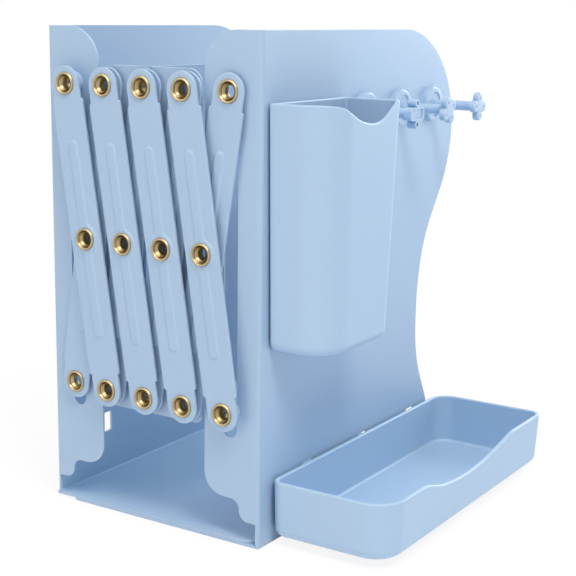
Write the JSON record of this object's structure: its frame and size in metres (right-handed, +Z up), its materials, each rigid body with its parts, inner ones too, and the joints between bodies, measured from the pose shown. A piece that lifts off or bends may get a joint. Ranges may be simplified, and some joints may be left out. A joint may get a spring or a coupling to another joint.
{
  "type": "magazine file organizer",
  "caption": "Desktop file organizer: two bent sheet end panels joined by a scissor lattice, with a hung divider, a pen holder, a side tray and turning peg hooks.",
  "frame": {"origin": "on the floor, midway between the outer faces of the closed end panels and midway along the right base plate from front to back", "axes": "+X to the right end panel with the tray, +Y to the open back, +Z up"},
  "size_m": [0.1631, 0.1707, 0.205],
  "materials": {
    "painted_steel": "satin powder coat, pale blue",
    "brass": "polished",
    "nylon": "plain",
    "moulded_plastic": "smooth satin, pale blue",
    "hook_plastic": "smooth, pale blue",
    "magnet": "plated"
  },
  "bodies": {
    "right_end": {"right_end_panel": "painted_steel", "hook_disc_front": "hook_plastic", "hook_disc_middle": "hook_plastic", "hook_disc_rear": "hook_plastic", "hook_magnet_front": "magnet", "hook_magnet_middle": "magnet", "hook_magnet_rear": "magnet"},
    "back_link_4": {"back_link_4": "painted_steel", "top_eyelet_5": "brass", "top_right_spacer": "nylon"},
    "front_link_4": {"front_link_4": "painted_steel", "top_eyelet_4": "brass", "middle_eyelet_4": "brass", "bottom_eyelet_5": "brass", "spacers_4": "nylon"},
    "back_link_3": {"back_link_3": "painted_steel"},
    "front_link_3": {"front_link_3": "painted_steel", "top_eyelet_3": "brass", "middle_eyelet_3": "brass", "bottom_eyelet_4": "brass", "spacers_3": "nylon"},
    "back_link_2": {"back_link_2": "painted_steel"},
    "front_link_2": {"front_link_2": "painted_steel", "top_eyelet_2": "brass", "middle_eyelet_2": "brass", "bottom_eyelet_3": "brass", "spacers_2": "nylon"},
    "back_link_1": {"back_link_1": "painted_steel", "bottom_eyelet_1": "brass", "bottom_left_spacer": "nylon"},
    "front_link_1": {"front_link_1": "painted_steel", "top_eyelet_1": "brass", "middle_eyelet_1": "brass", "bottom_eyelet_2": "brass", "spacers_1": "nylon"},
    "left_end": {"left_end_panel": "painted_steel"},
    "divider": {"divider_left_half": "painted_steel", "divider_right_half": "painted_steel"},
    "pen_holder": {"pen_holder": "moulded_plastic"},
    "tray": {"tray": "moulded_plastic"},
    "front_peg": {"hook_peg_front": "hook_plastic"},
    "middle_peg": {"hook_peg_middle": "hook_plastic"},
    "rear_peg": {"hook_peg_rear": "hook_plastic"}
  },
  "joints": [
    {"name": "lattice_fold", "type": "hinge", "parent": "right_end", "child": "back_link_4", "pos_m": [0.0395, -0.075, 0.182], "axis": [0, 1, 0], "range_deg": [0, 58]},
    {"name": "middle_pivot_4", "type": "hinge", "parent": "back_link_4", "child": "front_link_4", "pos_m": [0.02962, -0.075, 0.11877], "axis": [0, 1, 0], "range_deg": [-116, 0]},
    {"name": "bottom_pivot_4", "type": "hinge", "parent": "back_link_4", "child": "front_link_3", "pos_m": [0.01975, -0.075, 0.05553], "axis": [0, 1, 0], "range_deg": [-116, 0]},
    {"name": "middle_pivot_3", "type": "hinge", "parent": "front_link_3", "child": "back_link_3", "pos_m": [0.00988, -0.075, 0.11877], "axis": [0, 1, 0], "range_deg": [0, 116]},
    {"name": "top_pivot_3", "type": "hinge", "parent": "front_link_3", "child": "back_link_2", "pos_m": [0, -0.075, 0.182], "axis": [0, 1, 0], "range_deg": [0, 116]},
    {"name": "divider_pivot", "type": "hinge", "parent": "front_link_3", "child": "divider", "pos_m": [0, -0.075, 0.182], "axis": [0, 1, 0], "range_deg": [0, 58]},
    {"name": "middle_pivot_2", "type": "hinge", "parent": "back_link_2", "child": "front_link_2", "pos_m": [-0.00988, -0.075, 0.11877], "axis": [0, 1, 0], "range_deg": [-116, 0]},
    {"name": "bottom_pivot_2", "type": "hinge", "parent": "back_link_2", "child": "front_link_1", "pos_m": [-0.01975, -0.075, 0.05553], "axis": [0, 1, 0], "range_deg": [-116, 0]},
    {"name": "middle_pivot_1", "type": "hinge", "parent": "front_link_1", "child": "back_link_1", "pos_m": [-0.02962, -0.075, 0.11877], "axis": [0, 1, 0], "range_deg": [0, 116]},
    {"name": "left_end_pivot", "type": "hinge", "parent": "front_link_1", "child": "left_end", "pos_m": [-0.0395, -0.075, 0.182], "axis": [0, 1, 0], "range_deg": [0, 58]},
    {"name": "pen_holder_lift", "type": "slide", "parent": "right_end", "child": "pen_holder", "axis": [0, 0, 1], "range_m": [0, 0.0023]},
    {"name": "tray_lift", "type": "slide", "parent": "right_end", "child": "tray", "axis": [0, 0, 1], "range_m": [0, 0.0023]},
    {"name": "front_peg_turn", "type": "hinge", "parent": "right_end", "child": "front_peg", "pos_m": [0.0535, 0.0017, 0.1712], "axis": [1, 0, 0], "continuous": true},
    {"name": "middle_peg_turn", "type": "hinge", "parent": "right_end", "child": "middle_peg", "pos_m": [0.0535, 0.0325, 0.1712], "axis": [1, 0, 0], "continuous": true},
    {"name": "rear_peg_turn", "type": "hinge", "parent": "right_end", "child": "rear_peg", "pos_m": [0.0535, 0.0633, 0.1712], "axis": [1, 0, 0], "continuous": true}
  ],
  "couplings": [
    {"joint": "middle_pivot_4", "follows": "lattice_fold", "ratio": -2},
    {"joint": "bottom_pivot_4", "follows": "lattice_fold", "ratio": -2},
    {"joint": "middle_pivot_3", "follows": "lattice_fold", "ratio": 2},
    {"joint": "top_pivot_3", "follows": "lattice_fold", "ratio": 2},
    {"joint": "divider_pivot", "follows": "lattice_fold", "ratio": 1},
    {"joint": "middle_pivot_2", "follows": "lattice_fold", "ratio": -2},
    {"joint": "bottom_pivot_2", "follows": "lattice_fold", "ratio": -2},
    {"joint": "middle_pivot_1", "follows": "lattice_fold", "ratio": 2},
    {"joint": "left_end_pivot", "follows": "lattice_fold", "ratio": 1}
  ]
}
